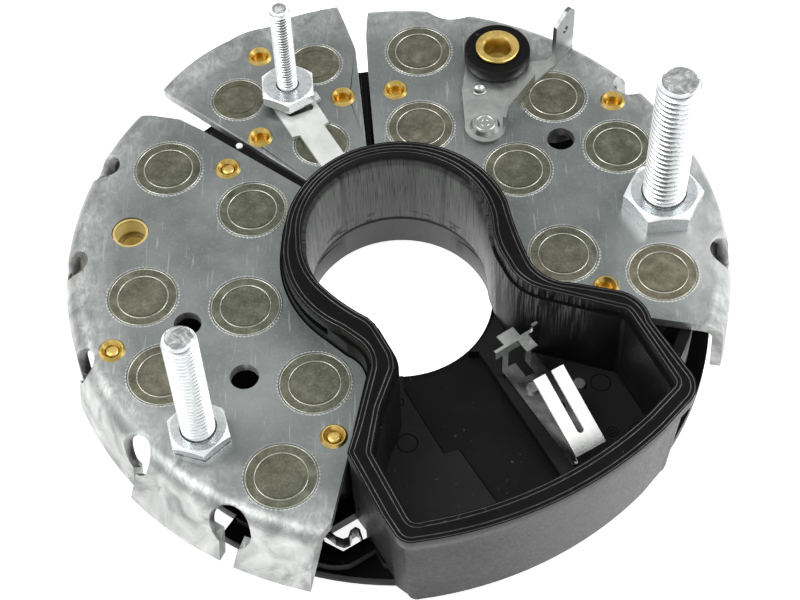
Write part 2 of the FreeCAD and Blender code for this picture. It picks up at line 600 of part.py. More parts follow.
def make_s_clip():
    """Bent spring strip in the square opening; the strip stands on edge."""
    path = spread([(-15.4, -48.4), (-12.6, -51.0), (-11.3, -51.6), (-10.3, -51.2), (-9.9, -49.9),
                   (-9.1, -49.3), (-8.5, -49.7), (-8.0, -51.6)])
    t = 0.35
    body = None
    for (x0, y0), (x1, y1) in zip(path[:-1], path[1:]):
        length = math.hypot(x1 - x0, y1 - y0)
        piece = Part.makeBox(length, t, 3.0, V(0, -t / 2, 0))
        piece.rotate(V(0, 0, 0), V(0, 0, 1), math.degrees(math.atan2(y1 - y0, x1 - x0)))
        piece.translate(V(x0, y0, FLANGE_Z1 - 1.2))
        joint = disc(t / 2, FLANGE_Z1 - 1.2, FLANGE_Z1 + 1.8, x0, y0)
        piece = piece.fuse(joint)
        body = piece if body is None else body.fuse(piece)
    return body.removeSplitter()


def make_sleeve():
    x, y = SLEEVE_POS
    body = disc(SLEEVE_OUT, FLANGE_Z0 + 1, SLEEVE_TOP, x, y).cut(disc(SLEEVE_BORE, 0, 30, x, y))
    return body.cut(disc(SLEEVE_MOUTH, SLEEVE_STEP_Z, 30, x, y)).removeSplitter()


def save(shape, name):
    shape.exportStep("parts/" + name + ".step")


os.makedirs("parts", exist_ok=True)
save(make_carrier(), "terminal_carrier")
save(make_left_plate(), "left_plate")
save(make_middle_plate(), "middle_plate")
save(make_right_plate(), "right_plate")
for number, place in enumerate(LEFT_DIODES, 1):
    save(make_diode(BIG_R, *place), "diode_left_%d" % number)
for number, place in enumerate(RIGHT_DIODES, 1):
    save(make_diode(BIG_R, *place), "diode_right_%d" % number)
for number, place in enumerate(EXCITER_DIODES, 1):
    save(make_diode(SMALL_R, *place), "diode_exciter_%d" % number)
save(Part.makeCompound([make_eyelet(x, y) for x, y in EYES]), "brass_eyelets")
save(make_stud(M8_R, M8_SEAT, M8_TOP, M8_POS, 5.6, 1.0), "stud_m8")
save(make_collar_m8(), "collar_m8")
save(make_stud(M6_R, M6_SEAT, M6_TOP, M6_POS, 4.6, 0.8), "stud_m6")
save(make_nut_m6(), "nut_m6")
save(make_stud(M4_R, M4_SEAT, M4_TOP, M4_POS, 3.4, 0.6), "stud_m4")
save(make_nut_m4(), "nut_m4")
save(make_strip(), "exciter_strip")
save(make_terminal(), "blade_terminal")
save(make_bush(), "insulating_bush")
save(make_bush_sleeve(), "bush_sleeve")
save(make_sleeve(), "brass_sleeve")
save(make_contact(), "brush_contact")
save(make_contact_rivets(), "contact_rivets")
save(make_pocket_clip(), "pocket_clip")
save(make_s_clip(), "spring_clip")
save(disc(PEG_R, PEG_Z0, PLATE_TOP - 0.3, *PEG_POS), "locating_peg")
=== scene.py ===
import bpy
import bmesh
import math
from collections import namedtuple
from mathutils import Matrix, Vector


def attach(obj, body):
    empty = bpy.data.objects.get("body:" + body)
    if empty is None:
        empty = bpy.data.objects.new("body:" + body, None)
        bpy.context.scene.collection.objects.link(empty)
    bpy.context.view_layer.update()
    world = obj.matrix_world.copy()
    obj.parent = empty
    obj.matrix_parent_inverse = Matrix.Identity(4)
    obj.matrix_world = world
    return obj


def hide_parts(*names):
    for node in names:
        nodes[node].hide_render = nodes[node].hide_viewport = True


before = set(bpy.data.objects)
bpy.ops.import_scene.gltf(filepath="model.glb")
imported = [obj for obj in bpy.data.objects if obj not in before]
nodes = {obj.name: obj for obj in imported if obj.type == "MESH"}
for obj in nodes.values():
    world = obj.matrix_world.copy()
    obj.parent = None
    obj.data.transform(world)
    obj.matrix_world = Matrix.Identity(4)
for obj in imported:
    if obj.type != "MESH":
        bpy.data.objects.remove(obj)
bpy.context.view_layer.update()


# Sizes in millimetres, and places on the plates

MM = 0.001
PLATE_TOP = 21.5
BIG_R = 6.385
SMALL_R = 5.2
FACE_Z = 21.4
GROOVE_RATIO = 0.68
RIM_TOP = 27.7
FLOOR_TOP = 8.2
BUSH_POS = (20.8, 44.8)
SLEEVE_POS = (-49.4, 5.8)
TERMINAL_RIVET_POS = (16.9, 36.6)
TERMINAL_CROWN_POS = (17.5, 27.6)
FILLED_EYELETS = ((-31.6, 20.0), (-51.25, -20.4), (-12.0, -39.75))
STUD_FOOT = 17.1
STUD_HEAD_H = 2.4
THREAD_DEPTH = 0.61
Stud = namedtuple("Stud", "pos radius pitch start top head root")
STUDS = {
    "m8": Stud((49.4, 7.75), 4.0, 1.25, 25.6, 55.7, 5.6, 0.76),
    "m6": Stud((-34.9, -39.2), 3.0, 1.0, 25.5, 52.7, 4.6, 0.61),
    "m4": Stud((-20.1, 36.8), 2.0, 0.7, 26.0, 46.6, 3.4, 0.43),
}
FLOOR_GLOW = 0.88


def polar(radius, degrees):
    a = math.radians(degrees)
    return (radius * math.cos(a), radius * math.sin(a))


LEFT_DIODES = [polar(*p) for p in [(47.6, 154.4), (28.7, 159.4), (47.2, 190.9), (30.1, 203.1),
                                   (49.3, 211.6), (32.5, 242.0), (51.6, 246.0)]]
RIGHT_DIODES = [polar(*p) for p in [(48.4, 83.5), (29.1, 79.7), (46.9, 48.4), (29.0, 36.8),
                                    (47.8, 27.4), (30.4, -5.1), (48.5, -9.1)]]
EXCITER_DIODES = [polar(*p) for p in [(47.7, 128.8), (48.0, 108.3), (28.9, 118.7)]]


# Shader building

def add_node(tree, kind, inputs=None, **props):
    """Add a shader node, set its properties and link or fill its inputs."""
    n = tree.nodes.new("ShaderNode" + kind)
    for k, v in props.items():
        setattr(n, k, v)
    for k, v in (inputs or {}).items():
        if isinstance(v, bpy.types.NodeSocket):
            tree.links.new(v, n.inputs[k])
        else:
            n.inputs[k].default_value = v
    return n


class Net:
    """A short way to write node materials."""

    def __init__(self, name):
        self.mat = bpy.data.materials.new(name)
        self.mat.use_nodes = True
        self.tree = self.mat.node_tree
        self.tree.nodes.clear()
        self.out = self.tree.nodes.new("ShaderNodeOutputMaterial")
        self.bsdf = self.tree.nodes.new("ShaderNodeBsdfPrincipled")
        self.link(self.bsdf.outputs[0], self.out.inputs[0])

    def link(self, a, b):
        self.tree.links.new(a, b)

    def new(self, kind, inputs=None, **props):
        return add_node(self.tree, kind, inputs, **props)

    def math(self, op, a, b):
        return self.new("Math", {0: a, 1: b}, operation=op).outputs[0]

    def times(self, *factors):
        out = factors[0]
        for f in factors[1:]:
            out = self.math("MULTIPLY", out, f)
        return out

    def pos(self):
        return self.new("NewGeometry").outputs["Position"]

    def scaled(self, sx, sy, sz):
        return self.new("Mapping", {"Vector": self.pos(), "Scale": (sx, sy, sz)}).outputs[0]

    def noise(self, scale, detail=4.0, rough=0.55, vec=None, dist=0.0):
        return self.new("TexNoise", {"Vector": vec or self.pos(), "Scale": scale, "Detail": detail,
                                     "Roughness": rough, "Distortion": dist}).outputs[0]

    def ramp(self, value, stops):
        n = self.new("ValToRGB", {0: value})
        r = n.color_ramp
        while len(r.elements) < len(stops):
            r.elements.new(0.5)
        for e, (p, c) in zip(r.elements, stops):
            e.position = p
            e.color = (c, c, c, 1) if isinstance(c, float) else (*c, 1)
        return n.outputs[0]

    def mix(self, factor, a, b, mode="MIX"):
        n = self.new("Mix", data_type="RGBA", blend_type=mode)
        for k, v in ((0, factor), (6, a), (7, b)):
            if isinstance(v, bpy.types.NodeSocket):
                self.link(v, n.inputs[k])
            elif k == 0:
                n.inputs[0].default_value = v
            else:
                n.inputs[k].default_value = (*v, 1)
        return n.outputs[2]

    def set(self, **values):
        for k, v in values.items():
            s = self.bsdf.inputs[k.replace("_", " ")]
            if isinstance(v, bpy.types.NodeSocket):
                self.link(v, s)
            else:
                s.default_value = (*v, 1) if isinstance(v, tuple) else v

    def bump(self, height, strength, distance):
        n = self.new("Bump", {"Height": height, "Strength": strength, "Distance": distance})
        self.link(n.outputs[0], self.bsdf.inputs["Normal"])

    def axes(self):
        n = self.new("SeparateXYZ", {0: self.pos()})
        return n.outputs[0], n.outputs[1], n.outputs[2]

    def radius(self, x=0.0, y=0.0):
        px, py, _ = self.axes()
        dx = self.math("SUBTRACT", px, x * MM)
        dy = self.math("SUBTRACT", py, y * MM)
        return self.math("SQRT", self.math("ADD", self.times(dx, dx), self.times(dy, dy)), 0.0)

    def facing_up(self, low, high):
        n = self.new("SeparateXYZ", {0: self.new("NewGeometry").outputs["True Normal"]})
        return self.span(n.outputs[2], low, high)

    def span(self, value, a, b, c=0.0, d=1.0):
        """Map a to b onto c to d, clamped."""
        return self.new("MapRange", {0: value, 1: a, 2: b, 3: c, 4: d}).outputs[0]


def shade(n, base, level):
    """Darken a metal's base, because it mirrors the white backdrop."""
    return n.mix(1.0, base, (level, level, level), "MULTIPLY")


def aluminium():
    n = Net("aluminium_sheet")
    speck = n.noise(2300.0, 3.0, 0.7)
    cloud = n.noise(60.0, 5.0, 0.55)
    stain = n.noise(210.0, 6.0, 0.65, dist=0.6)
    scuff = n.noise(620.0, 8.0, 0.75, vec=n.scaled(1.0, 0.5, 1.0), dist=1.5)
    scratch = n.noise(260.0, 2.0, 0.4, vec=n.scaled(9.0, 0.55, 1.0), dist=0.5)
    base = n.ramp(cloud, [(0.32, (0.175, 0.192, 0.188)), (0.52, (0.225, 0.243, 0.238)),
                          (0.72, (0.29, 0.31, 0.30))])
    base = n.mix(n.ramp(stain, [(0.54, 0.0), (0.70, 0.28)]), base, (0.33, 0.35, 0.34))
    base = n.mix(n.ramp(speck, [(0.55, 0.0), (0.75, 0.30)]), base, (0.50, 0.52, 0.50))
    base = n.mix(n.ramp(scratch, [(0.66, 0.0), (0.72, 0.30)]), base, (0.62, 0.64, 0.62))
    # painted highlight: a pale sheen patch on the right plate, centred near (53, -3) mm
    painted_sheen = n.span(n.radius(53.0, -3.0), 0.0170, 0.0040, 0.0, 0.60)
    base = n.mix(painted_sheen, base, (0.60, 0.62, 0.61))
    # pale scuffs near the outer edge are partly real wear and partly a painted highlight by the bend; every
    # face that does not look up, the bend and skirt, gets a painted highlight: pale colours and less metal
    edge = n.span(n.radius(), 0.0510, 0.0585)
    wear = n.times(edge, n.ramp(scuff, [(0.40, 0.30), (0.60, 0.75)]))
    side = n.math("SUBTRACT", 1.0, n.facing_up(0.55, 0.97))
    wear_and_side_highlight = n.math("MAXIMUM", wear, n.times(side, 0.92))
    dent = n.noise(150.0, 4.0, 0.6, dist=0.8)
    pale = n.ramp(dent, [(0.34, (0.34, 0.355, 0.345)), (0.50, (0.60, 0.615, 0.60)),
                         (0.66, (0.80, 0.805, 0.79))])
    base = n.mix(wear_and_side_highlight, base, pale)
    rough = n.span(n.math("ADD", cloud, n.times(speck, 0.35)), 0.3, 0.95, 0.36, 0.58)
    n.set(Base_Color=shade(n, base, 0.72), Metallic=n.span(wear_and_side_highlight, 0.0, 1.0, 1.0, 0.85), Roughness=rough)
    fine = n.math("ADD", n.times(speck, 0.35), n.times(stain, 0.7))
    fine = n.math("ADD", fine, n.times(dent, side, 9.0))
    n.bump(fine, 0.35, 0.00012)
    return n.mat


def nickel():
    n = Net("nickel_face")
    cloud = n.noise(330.0, 6.0, 0.65)
    grain = n.noise(2400.0, 3.0, 0.7)
    pick = n.noise(34.0, 0.0, 0.5)
    cool = n.ramp(cloud, [(0.30, (0.092, 0.097, 0.069)), (0.55, (0.142, 0.148, 0.108)),
                          (0.75, (0.23, 0.238, 0.185))])
    warm = n.ramp(cloud, [(0.30, (0.14, 0.12, 0.083)), (0.55, (0.215, 0.19, 0.135)),
                          (0.75, (0.33, 0.30, 0.23))])
    near = n.span(n.radius(47.9, -7.7), 0.0075, 0.0066)
    base = n.mix(n.math("MAXIMUM", near, n.ramp(pick, [(0.45, 0.0), (0.6, 0.35)])), cool, warm)
    base = n.mix(n.ramp(grain, [(0.50, 0.0), (0.75, 0.40)]), base, (0.38, 0.38, 0.33))
    # painted highlight: faces that do not look up, the diodes' edges, are paler
    side = n.math("SUBTRACT", 1.0, n.facing_up(0.8, 0.98))
    base = n.mix(n.times(side, 0.8), base, (0.55, 0.55, 0.50))
    n.set(Base_Color=shade(n, base, 0.72), Metallic=1.0, Roughness=n.span(cloud, 0.3, 0.7, 0.34, 0.52))
    n.bump(n.math("ADD", cloud, n.times(grain, 0.4)), 0.28, 0.00010)
    return n.mat


def plastic():
    """Black moulding: each mask below picks out one worn or paler place on it."""
    n = Net("black_plastic")
    x, y, z = n.axes()
    r = n.radius()
    up = n.facing_up(0.7, 0.95)
    wall = n.math("SUBTRACT", 1.0, up)
    grain = n.noise(1500.0, 4.0, 0.6)
    cloud = n.noise(75.0, 4.0, 0.6)
    speck = n.noise(900.0, 2.0, 0.5)
    angle = n.math("ARCTAN2", y, x)
    along = n.new("CombineXYZ", {0: n.times(angle, 0.02), 1: n.times(z, 0.035), 2: 0.0}).outputs[0]
    level = n.new("CombineXYZ", {0: n.times(angle, 0.004), 1: n.times(z, 0.9), 2: 0.3}).outputs[0]
    streak = n.noise(4200.0, 3.0, 0.6, vec=along)
    broad = n.noise(420.0, 3.0, 0.5, vec=along)
    smear = n.noise(700.0, 3.0, 0.6, vec=level)
    base = n.ramp(cloud, [(0.3, (0.0035, 0.0035, 0.0036)), (0.7, (0.0065, 0.0065, 0.0063))])

    # the pocket's floor, with pale specks over everything
    floor = n.times(up, n.span(z, 0.0100, 0.0090), n.span(z, 0.0060, 0.0070))
    base = n.mix(floor, base, n.ramp(cloud, [(0.3, (0.011, 0.0115, 0.011)), (0.7, (0.017, 0.0175, 0.017))]))
    base = n.mix(n.ramp(speck, [(0.72, 0.0), (0.76, 0.35)]), base, (0.10, 0.10, 0.10))

    # the tube's inner wall: upright streaks, smudged marks low on it and a dark band along its foot, above
    # the ledge
    tube = n.times(n.span(r, 0.0178, 0.0173), n.span(z, 0.0083, 0.0085), n.span(r, 0.0155, 0.0160),
                   n.span(z, 0.0262, 0.0245))
    grey = n.ramp(streak, [(0.36, (0.012, 0.012, 0.012)), (0.44, (0.16, 0.167, 0.16)),
                           (0.68, (0.24, 0.25, 0.24))])
    grey = n.mix(n.ramp(broad, [(0.52, 0.0), (0.66, 0.55)]), grey, (0.03, 0.03, 0.03))
    mark = n.times(n.span(z, 0.0122, 0.0108), n.ramp(smear, [(0.56, 0.0), (0.60, 0.9)]))
    line = n.math("MAXIMUM", n.span(z, 0.0094, 0.0090), mark)
    grey = n.mix(line, grey, (0.008, 0.008, 0.008))
    base = n.mix(n.times(tube, 0.95), base, grey)

    # the pale ledge at the tube's lower end
    band = n.times(n.span(z, 0.0083, 0.0080), n.span(r, 0.0183, 0.0180), n.span(r, 0.0172, 0.0174), wall)
    pale = n.ramp(cloud, [(0.3, (0.10, 0.104, 0.10)), (0.7, (0.15, 0.155, 0.15))])
    base = n.mix(n.times(band, 0.9), base, pale)

    # the pocket's inner wall by the waist, finely scratched
    fine = n.noise(3600.0, 3.0, 0.6, vec=n.scaled(1.0, 1.0, 0.03))
    inner = n.times(wall, n.span(z, 0.0150, 0.0235), n.span(x, 0.0120, 0.0150), n.span(x, 0.0400, 0.0300),
                    n.span(y, -0.0235, -0.0215), n.span(r, 0.0400, 0.0360))
    base = n.mix(inner, base, n.ramp(fine, [(0.47, (0.006, 0.006, 0.006)), (0.58, (0.16, 0.165, 0.16))]))

    # the outer face of the front wall: greyer, with streaks, and paler to the right
    front = n.times(wall, n.span(y, -0.0400, -0.0520), n.span(z, 0.0238, 0.0222), n.span(r, 0.0460, 0.0520))
    front_grey = n.ramp(cloud, [(0.35, (0.020, 0.021, 0.020)), (0.65, (0.055, 0.057, 0.054))])
    front_grey = n.mix(n.span(x, 0.0020, 0.0260, 0.0, 0.6), front_grey, (0.085, 0.088, 0.084))
    front_grey = n.mix(n.ramp(streak, [(0.58, 0.0), (0.70, 0.5)]), front_grey, (0.03, 0.03, 0.03))
    base = n.mix(n.times(front, 0.9), base, front_grey)

    # the dark marks and band low in the tube, the front wall's outer face and every face that looks up shine
    # less
    dim = n.math("MAXIMUM", n.times(tube, line, 0.9), n.times(front, n.span(x, -0.0050, 0.0400, 0.90, 0.45)))
    gloss = n.times(n.span(up, 0.0, 1.0, 0.38, 0.045), n.math("SUBTRACT", 1.0, dim))
    n.set(Base_Color=base, Roughness=n.span(grain, 0.3, 0.7, 0.34, 0.48), Specular_IOR_Level=gloss)
    height = n.math("ADD", n.times(grain, 0.5), n.times(streak, tube, 0.8))
    n.bump(height, 0.22, 0.00012)
    return n.mat


def contact_sheet(name, dim, shine, metal):
    """Tinned spring sheet with painted light: a bright satin, nearly non-metallic copy above a set height,
    and a dark mirror-like copy as painted shade low in the pocket.
    """
    n = Net(name)
    cloud = n.noise(240.0, 4.0, 0.6)
    # painted light and shade: the same sheet is lit above this height and shaded below it
    high = n.span(n.axes()[2], 0.0110, 0.0135)
    low = n.ramp(cloud, [(0.35, (0.10, 0.102, 0.10)), (0.65, (0.22, 0.225, 0.22))])
    base = n.mix(high, low, n.ramp(cloud, [(0.3, dim), (0.7, shine)]))
    n.set(Base_Color=base, Metallic=n.span(high, 0.0, 1.0, 1.0, metal),
          Roughness=n.span(high, 0.0, 1.0, 0.24, 0.38))
    n.bump(cloud, 0.04, 0.00008)
    return n.mat


def simple_metal(name, dark, light, rough, grain_scale, bump, shine=(0.9, 0.9, 0.9)):
    """Grained sheet; the tinned one is darker above the plates, where the blade terminal stands: painted
    shade on the upright blade.
    """
    n = Net(name)
    cloud = n.noise(260.0, 5.0, 0.6)
    grain = n.noise(grain_scale, 4.0, 0.65)
    base = n.ramp(cloud, [(0.3, dark), (0.7, light)])
    base = n.mix(n.ramp(grain, [(0.5, 0.0), (0.8, 0.3)]), base, shine)
    if name == "tin_sheet":
        # painted shade: the upright blade above the plates is darker
        base = n.mix(n.span(n.axes()[2], 0.0240, 0.0260), base, (0.26, 0.27, 0.265))
        base = shade(n, base, 0.60)
    n.set(Base_Color=base, Metallic=1.0, Roughness=n.span(grain, 0.3, 0.7, rough[0], rough[1]))
    n.bump(n.math("ADD", grain, cloud), bump, 0.00008)
    return n.mat


def zinc():
    """Plated steel: scuffed ends on the studs, darker level faces on the nuts as a painted dark reflection,
    and painted shade in the thread roots.
    """
    n = Net("zinc_steel")
    z = n.axes()[2]
    cloud = n.noise(260.0, 5.0, 0.6)
    grain = n.noise(700.0, 4.0, 0.65)
    scuff = n.noise(420.0, 6.0, 0.7, dist=2.0)
    base = n.ramp(cloud, [(0.3, (0.80, 0.83, 0.84)), (0.7, (0.93, 0.95, 0.96))])
    end = n.times(n.span(z, 0.0440, 0.0455), n.facing_up(0.93, 0.98))
    worn = n.ramp(scuff, [(0.40, (0.26, 0.27, 0.27)), (0.52, (0.45, 0.46, 0.46)), (0.64, (0.80, 0.81, 0.81))])
    base = n.mix(end, base, worn)
    # painted dark reflection: level faces low down, the nut and collar tops, are darker
    flat = n.times(n.facing_up(0.9, 0.98), n.span(z, 0.0400, 0.0300))
    dim = n.ramp(scuff, [(0.35, (0.36, 0.38, 0.39)), (0.65, (0.62, 0.65, 0.66))])
    base = n.mix(n.times(flat, 0.8), base, dim)
    # painted shade in the thread roots, darkened between the flanks
    for stud in STUDS.values():
        root = n.span(n.radius(*stud.pos), (stud.radius - 0.30 * stud.root) * MM,
                      (stud.radius - 0.95 * stud.root) * MM)
        root = n.times(root, n.span(z, (stud.top - 0.6) * MM, (stud.top - 0.9) * MM),
                       n.span(z, 0.0256, 0.0262))
        base = n.mix(n.times(root, 0.75), base, (0.16, 0.165, 0.17))
    n.set(Base_Color=shade(n, base, 0.90), Metallic=0.9, Roughness=n.span(grain, 0.3, 0.7, 0.20, 0.32))
    n.bump(n.math("ADD", grain, n.times(scuff, end, 12.0)), 0.03, 0.00008)
    return n.mat


def groove():
    n = Net("moulded_groove_shade")
    cloud = n.noise(500.0, 4.0, 0.6)
    # near-black: painted shade in the steps and seams that the floor marks trace
    n.set(Base_Color=n.ramp(cloud, [(0.3, (0.0008, 0.0008, 0.0008)), (0.7, (0.002, 0.002, 0.002))]),
          Roughness=n.span(cloud, 0.3, 0.7, 0.75, 0.9), Specular_IOR_Level=0.05)
    return n.mat


def brass():
    """Brass, with darker wells in the eyelets, bright bores in bush and sleeve as painted light, and the
    sleeve's dark step.
    """
    n = Net("brass")
    cloud = n.noise(420.0, 4.0, 0.6)
    grain = n.noise(2200.0, 3.0, 0.6)
    z = n.axes()[2]
    base = n.ramp(cloud, [(0.3, (0.36, 0.24, 0.055)), (0.7, (0.60, 0.45, 0.15))])
    deep = n.span(z, 0.0214, 0.0206)
    # painted light: the bores of bush and sleeve get a bright, less metallic brass
    bush = n.span(n.radius(*BUSH_POS), 0.0080, 0.0070)
    bush = n.math("MAXIMUM", bush, n.span(n.radius(*SLEEVE_POS), 0.0050, 0.0040))
    well = n.mix(bush, (0.46, 0.27, 0.04), (0.95, 0.83, 0.42))
    base = n.mix(n.times(deep, 0.85), base, well)
    step = n.times(n.span(z, 0.0181, 0.0177), n.span(z, 0.0166, 0.0170))
    base = n.mix(n.times(step, 0.85), base, (0.20, 0.12, 0.025))
    base = n.mix(n.ramp(grain, [(0.55, 0.0), (0.8, 0.3)]), base, (0.98, 0.86, 0.48))
    n.set(Base_Color=base, Metallic=n.span(n.times(deep, bush), 0.0, 1.0, 1.0, 0.25),
          Roughness=n.span(cloud, 0.3, 0.7, 0.28, 0.42))
    n.bump(grain, 0.15, 0.00006)
    return n.mat


def white_plastic():
    n = Net("white_plastic")
    cloud = n.noise(600.0, 4.0, 0.6)
    n.set(Base_Color=n.ramp(cloud, [(0.3, (0.62, 0.62, 0.59)), (0.7, (0.80, 0.80, 0.77))]),
          Roughness=n.span(cloud, 0.3, 0.7, 0.42, 0.55))
    n.bump(cloud, 0.15, 0.0001)
    return n.mat


MATS = {
    "aluminium_sheet": aluminium(),
    "nickel_face": nickel(),
    "black_plastic": plastic(),
    "brass": brass(),
    "zinc_steel": zinc(),
    "moulded_groove_shade": groove(),
    "tin_sheet": simple_metal("tin_sheet", (0.42, 0.44, 0.425), (0.60, 0.62, 0.60), (0.26, 0.42),
                              700.0, 0.16),
    "white_plastic": white_plastic(),
    "contact_sheet": contact_sheet("contact_sheet", (0.90, 0.91, 0.89), (0.97, 0.975, 0.96), 0.05),
    "strip_sheet": contact_sheet("strip_sheet", (0.50, 0.515, 0.49), (0.66, 0.675, 0.65), 0.35),
    # a brighter copy of the nickel: painted highlight on the diodes' lip rings
    "nickel_edge_highlight": simple_metal("nickel_edge_highlight", (0.22, 0.22, 0.18), (0.46, 0.46, 0.40), (0.22, 0.38),
                                1300.0, 0.2),
    # a brighter, metallic copy of the moulding: painted highlight lines on the rim
    "moulded_edge_highlight": simple_metal("moulded_edge_highlight", (0.035, 0.035, 0.035), (0.07, 0.07, 0.07), (0.30, 0.42),
                                 900.0, 0.1, (0.2, 0.2, 0.2)),
}

SLOT_OF = {}
for name in nodes:
    if name.endswith("_plate"):
        SLOT_OF[name] = "aluminium_sheet"
    elif name.startswith("diode"):
        SLOT_OF[name] = "nickel_face"
    elif name in ("terminal_carrier", "insulating_bush"):
        SLOT_OF[name] = "black_plastic"
    elif name in ("brass_eyelets", "bush_sleeve", "brass_sleeve"):
        SLOT_OF[name] = "brass"
    elif name.startswith(("stud", "collar", "nut")):
        SLOT_OF[name] = "zinc_steel"
    elif name == "locating_peg":
        SLOT_OF[name] = "white_plastic"
    else:
        SLOT_OF[name] = "tin_sheet"

SHEETS = {"brush_contact": "contact_sheet", "spring_clip": "contact_sheet", "exciter_strip": "strip_sheet"}
for name, obj in nodes.items():
    mat = MATS[SHEETS.get(name, SLOT_OF[name])]
    if not obj.material_slots:
        obj.data.materials.append(mat)
    for s in obj.material_slots:
        s.material = mat


def add_mesh(name, verts, faces, material, smooth=True, stands_for=None):
    """Add a piece: its mesh in millimetres, its look and the node it stands for."""
    me = bpy.data.meshes.new(name)
    me.from_pydata([Vector(v) * MM for v in verts], [], faces)
    me.materials.append(MATS[material])
    me.polygons.foreach_set("use_smooth", [smooth] * len(me.polygons))
    me.update()
    ob = bpy.data.objects.new(name, me)
    bpy.context.scene.collection.objects.link(ob)
    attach(ob, "root")
    if stands_for:
        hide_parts(stands_for)


# Threaded studs

PER_TURN = 72
THREAD_PROFILE = [(0.0, 0.0), (0.22, 0.0), (0.52, 1.0), (0.66, 1.0)]


def spot(pos, r, a, z):
    return (pos[0] + r * math.cos(a), pos[1] + r * math.sin(a), z)


def thread(name, node, stud):
    """A stud with its head, a plain shank, a cut thread from start to top and a chamfered end."""
    pos, radius, pitch, start, top, head, _ = stud
    depth = THREAD_DEPTH * pitch
    verts, faces = [], []
    rows = int((top - start) / pitch) * PER_TURN
    for i in range(rows + 1):
        a = 2 * math.pi * i / PER_TURN
        for t, d in THREAD_PROFILE:
            z = start + pitch * (i / PER_TURN + t)
            fade = min(1.0, (z - start) / (1.2 * pitch), max(0.0, (top - z) / (0.9 * pitch)) + 0.25)
            r = radius - depth * d * max(fade, 0.0)
            r = min(r, radius - max(0.0, (z - (top - 1.0)) * 0.75))
            verts.append(spot(pos, r, a, min(z, top)))
    n = len(THREAD_PROFILE)
    for i in range(rows):
        for k in range(n - 1):
            a, b = i * n + k, (i + 1) * n + k
            faces.append((a, b, b + 1, a + 1))
    for i in range(rows - PER_TURN):
        a, b = i * n + n - 1, (i + 1) * n + n - 1
        c, d = (i + 1 + PER_TURN) * n, (i + PER_TURN) * n
        faces.append((a, b, c, d))
    core = radius - depth
    head_top = STUD_FOOT + STUD_HEAD_H
    loops = [(0.001, STUD_FOOT), (head, STUD_FOOT), (head, head_top), (radius, head_top),
             (radius, start + 0.3), (core + 0.02, start + 0.8), (core + 0.02, top - 0.5),
             (core - 0.2, top - 0.02), (0.001, top)]
    first = len(verts)
    for r, z in loops:
        verts += [spot(pos, r, 2 * math.pi * i / PER_TURN, z) for i in range(PER_TURN)]
    for row in range(len(loops) - 1):
        s0 = first + row * PER_TURN
        for i in range(PER_TURN):
            j = (i + 1) % PER_TURN
            faces.append((s0 + i, s0 + j, s0 + PER_TURN + j, s0 + PER_TURN + i))
    add_mesh(name, verts, faces, "zinc_steel", False, node)


for size, stud in STUDS.items():
    thread("thread_" + size, "stud_" + size, stud)


# Pressed-in seat round each diode: a fine knurled ring that stands proud of the sheet

SEAT_SECTION = [(0.02, -0.25), (0.05, 0.10), (0.16, 0.16), (0.34, 0.07), (0.46, -0.05)]
TOOTH_DROP = 0.09
TOOTH_IN = 0.04


def seat_rings(name, places, radius, teeth):
    verts, faces = [], []
    m, total = len(SEAT_SECTION), teeth * 4
    for place in places:
        start = len(verts)
        for i in range(total):
            a = 2 * math.pi * i / total
            tooth = 0.0 if i % 4 in (0, 1) else 1.0
            for k, (dr, dz) in enumerate(SEAT_SECTION):
                lift = dz if k in (0, 4) else dz - TOOTH_DROP * tooth
                r = radius + dr - (TOOTH_IN * tooth if k < 2 else 0.0)
                verts.append(spot(place, r, a, PLATE_TOP + lift))
        for i in range(total):
            here, after = start + i * m, start + (i + 1) % total * m
            for k in range(m - 1):
                faces.append((here + k, here + k + 1, after + k + 1, after + k))
    add_mesh(name, verts, faces, "aluminium_sheet")


seat_rings("seat_rings_big", LEFT_DIODES + RIGHT_DIODES, BIG_R, 56)
seat_rings("seat_rings_small", EXCITER_DIODES, SMALL_R, 46)


# Closed rivet tips that fill three of the eyelets, and the blade terminal's rivet and crown

def revolve(name, material, turned):
    """One piece from sections turned round upright axes: (place, section, steps) each."""
    verts, faces = [], []
    for place, section, total in turned:
        start, m = len(verts), len(section)
        for i in range(total):
            a = 2 * math.pi * i / total
            verts += [spot(place, r, a, z) for r, z in section]
        for i in range(total):
            here, after = start + i * m, start + (i + 1) % total * m
            for k in range(m - 1):
                faces.append((here + k, after + k, after + k + 1, here + k + 1))
    add_mesh(name, verts, faces, material)


TIP_SECTION = [(1.22, 20.6), (1.20, 21.25), (1.08, 21.42), (0.6, 21.47), (0.0001, 21.49)]
RIVET_SECTION = [(1.5, 22.28), (1.42, 22.52), (1.1, 22.58), (0.85, 22.3), (0.0001, 22.2)]
CROWN_OUTER = [(2.1, 23.08), (1.95, 23.28), (1.65, 23.28), (1.5, 23.1)]
CROWN_INNER = [(1.0, 23.08), (0.9, 23.24), (0.7, 23.24), (0.6, 23.1)]
revolve("rivet_tips", "brass", [(place, TIP_SECTION, 48) for place in FILLED_EYELETS])


# Moulded marks on the pocket floor: rings and fine lines, painted near-black as the shade in their steps and
# along the walls' foot

def ribbon(verts, faces, path, half, low, high):
    start = len(verts)
    for i, (px, py) in enumerate(path):
        q, p = path[min(i + 1, len(path) - 1)], path[max(i - 1, 0)]
        t = Vector((q[0] - p[0], q[1] - p[1])).normalized()
        for du, z in ((-half, low), (-half * 0.5, high), (half * 0.5, high), (half, low)):
            verts.append((px - t.y * du, py + t.x * du, z))
    for i in range(len(path) - 1):
        here = start + i * 4
        for k in range(3):
            faces.append((here + k, here + 4 + k, here + 5 + k, here + 1 + k))


def circle(x, y, r, total=40):
    return [spot((x, y), r, 2 * math.pi * i / total, 0.0)[:2] for i in range(total + 1)]


